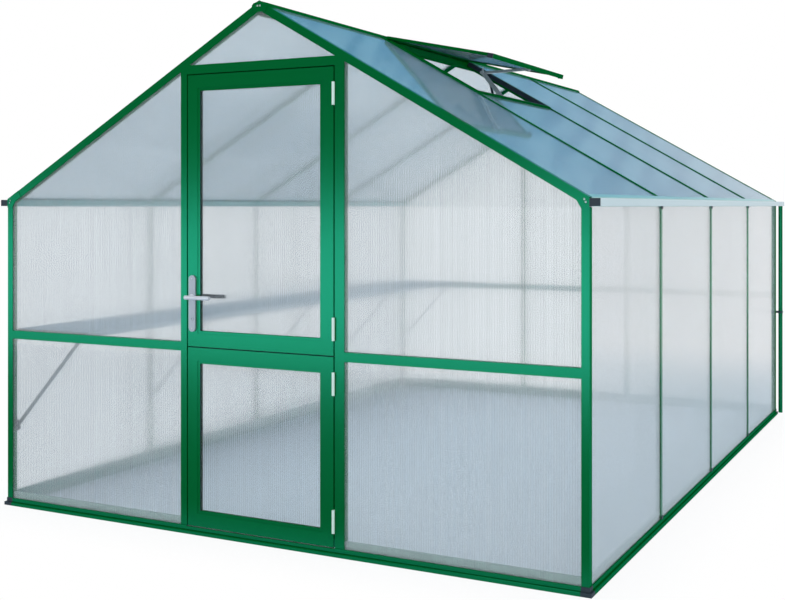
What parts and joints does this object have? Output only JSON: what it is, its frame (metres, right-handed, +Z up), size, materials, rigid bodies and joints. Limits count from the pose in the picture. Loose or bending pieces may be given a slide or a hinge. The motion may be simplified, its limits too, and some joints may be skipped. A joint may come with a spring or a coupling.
{
  "type": "greenhouse",
  "caption": "Small free-standing greenhouse: green aluminium frame, ribbed translucent sheets, stable door, open roof window, gutters and an inside shelf.",
  "frame": {"origin": "on the ground under the middle of the ridge, at the centre of the four corner posts", "axes": "+X to the right seen from the door, -Y out of the door gable, +Z up"},
  "size_m": [3.025, 4.4083, 2.344],
  "materials": {
    "green_frame": "satin powder coat",
    "ribbed_sheet": "translucent twin-wall sheet with upright ribs",
    "window_sheet": "translucent sheet",
    "dark_plastic": "moulded, fine grain",
    "bare_aluminium": "mill finish",
    "bright_metal": "satin",
    "pale_gutter": "pale grey-green powder coat"
  },
  "bodies": {
    "building": {"back_mid_rails": "green_frame", "back_posts": "green_frame", "back_rafters": "green_frame", "back_sheets": "ribbed_sheet", "base_back": "green_frame", "base_corner_caps": "dark_plastic", "base_front": "green_frame", "base_left": "green_frame", "base_right": "green_frame", "corner_posts": "green_frame", "door_lintel": "green_frame", "door_posts": "green_frame", "downpipes": "green_frame", "eave_beams": "green_frame", "frame_hinges": "bright_metal", "front_mid_rails": "green_frame", "front_rafters": "green_frame", "front_sheets": "ribbed_sheet", "gusset_plates": "green_frame", "gutter_caps": "dark_plastic", "gutters": "pale_gutter", "left_roof_bars": "green_frame", "left_roof_sheets": "ribbed_sheet", "left_wall_sheets": "ribbed_sheet", "lid_end_caps": "dark_plastic", "pipe_clips": "dark_plastic", "ridge": "green_frame", "right_roof_bars": "green_frame", "right_roof_sheets": "ribbed_sheet", "right_wall_sheets": "ribbed_sheet", "shelf": "bare_aluminium", "shelf_arms": "bare_aluminium", "shelf_struts": "bare_aluminium", "shelf_wall_plates": "dark_plastic", "wall_bar_clips": "dark_plastic", "wall_bars": "green_frame", "window_curb": "green_frame", "window_lid": "green_frame", "window_opener": "bare_aluminium", "window_seal": "dark_plastic", "window_sheet": "window_sheet"},
    "upper_door": {"upper_leaf": "green_frame", "upper_leaf_sheet": "ribbed_sheet", "upper_leaf_hinges": "bright_metal", "handle_plates": "bright_metal"},
    "lower_door": {"lower_leaf": "green_frame", "lower_leaf_sheet": "ribbed_sheet", "lower_leaf_hinges": "bright_metal"},
    "lever_handle": {"door_handle": "bright_metal"}
  },
  "joints": [
    {"name": "upper_door_hinge", "type": "hinge", "parent": "building", "child": "upper_door", "pos_m": [0.371, -2.1455, 1.437], "axis": [0, 0, 1], "range_deg": [0, 165]},
    {"name": "lower_door_hinge", "type": "hinge", "parent": "building", "child": "lower_door", "pos_m": [0.371, -2.1455, 0.431], "axis": [0, 0, 1], "range_deg": [0, 165]},
    {"name": "lever_turn", "type": "hinge", "parent": "upper_door", "child": "lever_handle", "pos_m": [-0.354, -2.1385, 1.054], "axis": [0, 1, 0], "range_deg": [0, 35], "stiffness_Nm_per_rad": 1.2, "springref_deg": -20.05}
  ]
}
